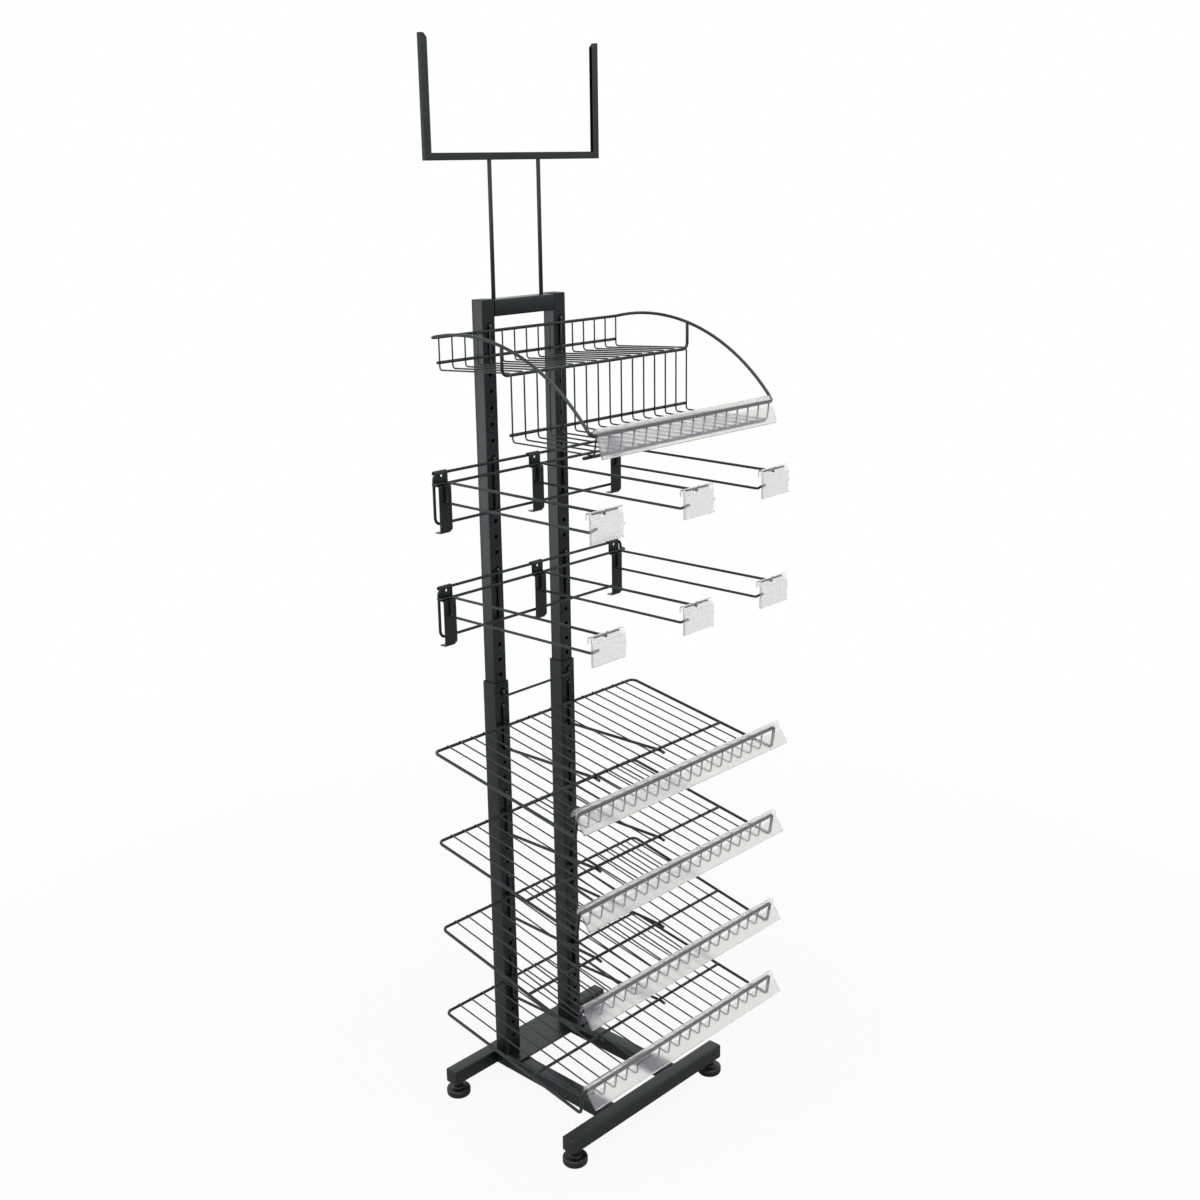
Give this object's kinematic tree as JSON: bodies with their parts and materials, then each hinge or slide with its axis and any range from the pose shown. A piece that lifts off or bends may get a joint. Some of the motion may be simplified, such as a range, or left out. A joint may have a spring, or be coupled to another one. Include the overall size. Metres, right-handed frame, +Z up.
{
  "type": "wire display rack",
  "caption": "Free-standing black display rack: tilted wire shelves with label strips, rows of ticketed hooks, a stepped wire basket and a sign frame on a tube mast.",
  "frame": {"origin": "middle of the whole rack's outline on the floor", "axes": "+X across the rack to its right as seen from the front, +Y from the front edge to the mast, +Z up"},
  "size_m": [0.47, 0.4046, 1.6913],
  "materials": {
    "black_metal": "satin black powder coat",
    "black_plastic": "matt moulded black",
    "zinc": "zinc plated",
    "clear_plastic": "clear extruded plastic"
  },
  "bodies": {
    "stand": {"base_rear_tube": "black_metal", "base_front_tube": "black_metal", "base_side_tube_left": "black_metal", "base_side_tube_right": "black_metal", "base_plate": "black_metal", "lower_upright_left": "black_metal", "lower_upright_right": "black_metal", "upper_upright_left": "black_metal", "upper_upright_right": "black_metal", "top_cross_tube": "black_metal", "base_front_plug_left": "black_plastic", "base_front_plug_right": "black_plastic", "base_rear_plug_left": "black_plastic", "base_rear_plug_right": "black_plastic", "upright_plug_left": "black_plastic", "upright_plug_right": "black_plastic", "base_bolt_left": "zinc", "base_bolt_right": "zinc"},
    "pin": {"locking_pin": "black_metal"},
    "sign": {"sign_frame": "black_metal", "sign_rod_left": "black_metal", "sign_rod_right": "black_metal"},
    "basket_unit": {"basket": "black_metal", "basket_label_strip": "clear_plastic"},
    "shelf_unit_1": {"shelf_1": "black_metal", "shelf_label_strip_1": "clear_plastic"},
    "shelf_unit_2": {"shelf_2": "black_metal", "shelf_label_strip_2": "clear_plastic"},
    "shelf_unit_3": {"shelf_3": "black_metal", "shelf_label_strip_3": "clear_plastic"},
    "shelf_unit_4": {"shelf_4": "black_metal", "shelf_label_strip_4": "clear_plastic"},
    "upper_bar_unit": {"hook_bar_upper": "black_metal"},
    "upper_left_hook": {"hook_plate_upper_left": "black_metal", "hook_arm_upper_left": "black_metal"},
    "upper_left_holder": {"ticket_holder_upper_left": "clear_plastic"},
    "upper_middle_hook": {"hook_plate_upper_middle": "black_metal", "hook_arm_upper_middle": "black_metal"},
    "upper_middle_holder": {"ticket_holder_upper_middle": "clear_plastic"},
    "upper_right_hook": {"hook_plate_upper_right": "black_metal", "hook_arm_upper_right": "black_metal"},
    "upper_right_holder": {"ticket_holder_upper_right": "clear_plastic"},
    "lower_bar_unit": {"hook_bar_lower": "black_metal"},
    "lower_left_hook": {"hook_plate_lower_left": "black_metal", "hook_arm_lower_left": "black_metal"},
    "lower_left_holder": {"ticket_holder_lower_left": "clear_plastic"},
    "lower_middle_hook": {"hook_plate_lower_middle": "black_metal", "hook_arm_lower_middle": "black_metal"},
    "lower_middle_holder": {"ticket_holder_lower_middle": "clear_plastic"},
    "lower_right_hook": {"hook_plate_lower_right": "black_metal", "hook_arm_lower_right": "black_metal"},
    "lower_right_holder": {"ticket_holder_lower_right": "clear_plastic"},
    "foot_front_left": {"foot_pad_front_left": "black_plastic", "foot_stem_front_left": "black_plastic"},
    "foot_front_right": {"foot_pad_front_right": "black_plastic", "foot_stem_front_right": "black_plastic"},
    "foot_rear_left": {"foot_pad_rear_left": "black_plastic", "foot_stem_rear_left": "black_plastic"},
    "foot_rear_right": {"foot_pad_rear_right": "black_plastic", "foot_stem_rear_right": "black_plastic"}
  },
  "joints": [
    {"name": "pin_pull", "type": "slide", "parent": "stand", "child": "pin", "axis": [0, -1, 0], "range_m": [0, 0.02]},
    {"name": "sign_lift", "type": "slide", "parent": "stand", "child": "sign", "axis": [0, 0, 1], "range_m": [0, 0.02]},
    {"name": "basket_tilt", "type": "hinge", "parent": "stand", "child": "basket_unit", "pos_m": [0, 0.1435, 1.2857], "axis": [-1, 0, 0], "range_deg": [0, 15]},
    {"name": "shelf_tilt_1", "type": "hinge", "parent": "stand", "child": "shelf_unit_1", "pos_m": [0, 0.1435, 0.6857], "axis": [-1, 0, 0], "range_deg": [0, 15]},
    {"name": "shelf_tilt_2", "type": "hinge", "parent": "stand", "child": "shelf_unit_2", "pos_m": [0, 0.1435, 0.5357], "axis": [-1, 0, 0], "range_deg": [0, 15]},
    {"name": "shelf_tilt_3", "type": "hinge", "parent": "stand", "child": "shelf_unit_3", "pos_m": [0, 0.1435, 0.3857], "axis": [-1, 0, 0], "range_deg": [0, 15]},
    {"name": "shelf_tilt_4", "type": "hinge", "parent": "stand", "child": "shelf_unit_4", "pos_m": [0, 0.1435, 0.2357], "axis": [-1, 0, 0], "range_deg": [0, 15]},
    {"name": "upper_bar_tilt", "type": "hinge", "parent": "stand", "child": "upper_bar_unit", "pos_m": [0, 0.1435, 1.08555], "axis": [-1, 0, 0], "range_deg": [0, 7]},
    {"name": "upper_left_hook_slide", "type": "slide", "parent": "upper_bar_unit", "child": "upper_left_hook", "axis": [1, 0, 0], "range_m": [0, 0.098]},
    {"name": "upper_left_holder_swing", "type": "hinge", "parent": "upper_left_hook", "child": "upper_left_holder", "pos_m": [-0.1895, -0.1955, 1.07175], "axis": [-1, 0, 0], "range_deg": [0, 85]},
    {"name": "upper_middle_hook_slide", "type": "slide", "parent": "upper_bar_unit", "child": "upper_middle_hook", "axis": [1, 0, 0], "range_m": [-0.06, 0.056]},
    {"name": "upper_middle_holder_swing", "type": "hinge", "parent": "upper_middle_hook", "child": "upper_middle_holder", "pos_m": [0.002, -0.1955, 1.07175], "axis": [-1, 0, 0], "range_deg": [0, 85]},
    {"name": "upper_right_hook_slide", "type": "slide", "parent": "upper_bar_unit", "child": "upper_right_hook", "axis": [1, 0, 0], "range_m": [-0.088, 0.005]},
    {"name": "upper_right_holder_swing", "type": "hinge", "parent": "upper_right_hook", "child": "upper_right_holder", "pos_m": [0.181, -0.1955, 1.07175], "axis": [-1, 0, 0], "range_deg": [0, 85]},
    {"name": "lower_bar_tilt", "type": "hinge", "parent": "stand", "child": "lower_bar_unit", "pos_m": [0, 0.1435, 0.91055], "axis": [-1, 0, 0], "range_deg": [0, 15]},
    {"name": "lower_left_hook_slide", "type": "slide", "parent": "lower_bar_unit", "child": "lower_left_hook", "axis": [1, 0, 0], "range_m": [0, 0.098]},
    {"name": "lower_left_holder_swing", "type": "hinge", "parent": "lower_left_hook", "child": "lower_left_holder", "pos_m": [-0.1895, -0.1955, 0.90125], "axis": [-1, 0, 0], "range_deg": [0, 85]},
    {"name": "lower_middle_hook_slide", "type": "slide", "parent": "lower_bar_unit", "child": "lower_middle_hook", "axis": [1, 0, 0], "range_m": [-0.06, 0.056]},
    {"name": "lower_middle_holder_swing", "type": "hinge", "parent": "lower_middle_hook", "child": "lower_middle_holder", "pos_m": [0.002, -0.1955, 0.90125], "axis": [-1, 0, 0], "range_deg": [0, 85]},
    {"name": "lower_right_hook_slide", "type": "slide", "parent": "lower_bar_unit", "child": "lower_right_hook", "axis": [1, 0, 0], "range_m": [-0.088, 0.005]},
    {"name": "lower_right_holder_swing", "type": "hinge", "parent": "lower_right_hook", "child": "lower_right_holder", "pos_m": [0.181, -0.1955, 0.90125], "axis": [-1, 0, 0], "range_deg": [0, 85]},
    {"name": "foot_front_left_height", "type": "slide", "parent": "stand", "child": "foot_front_left", "axis": [0, 0, -1], "range_m": [0, 0.012]},
    {"name": "foot_front_right_height", "type": "slide", "parent": "stand", "child": "foot_front_right", "axis": [0, 0, -1], "range_m": [0, 0.012]},
    {"name": "foot_rear_left_height", "type": "slide", "parent": "stand", "child": "foot_rear_left", "axis": [0, 0, -1], "range_m": [0, 0.012]},
    {"name": "foot_rear_right_height", "type": "slide", "parent": "stand", "child": "foot_rear_right", "axis": [0, 0, -1], "range_m": [0, 0.012]}
  ]
}
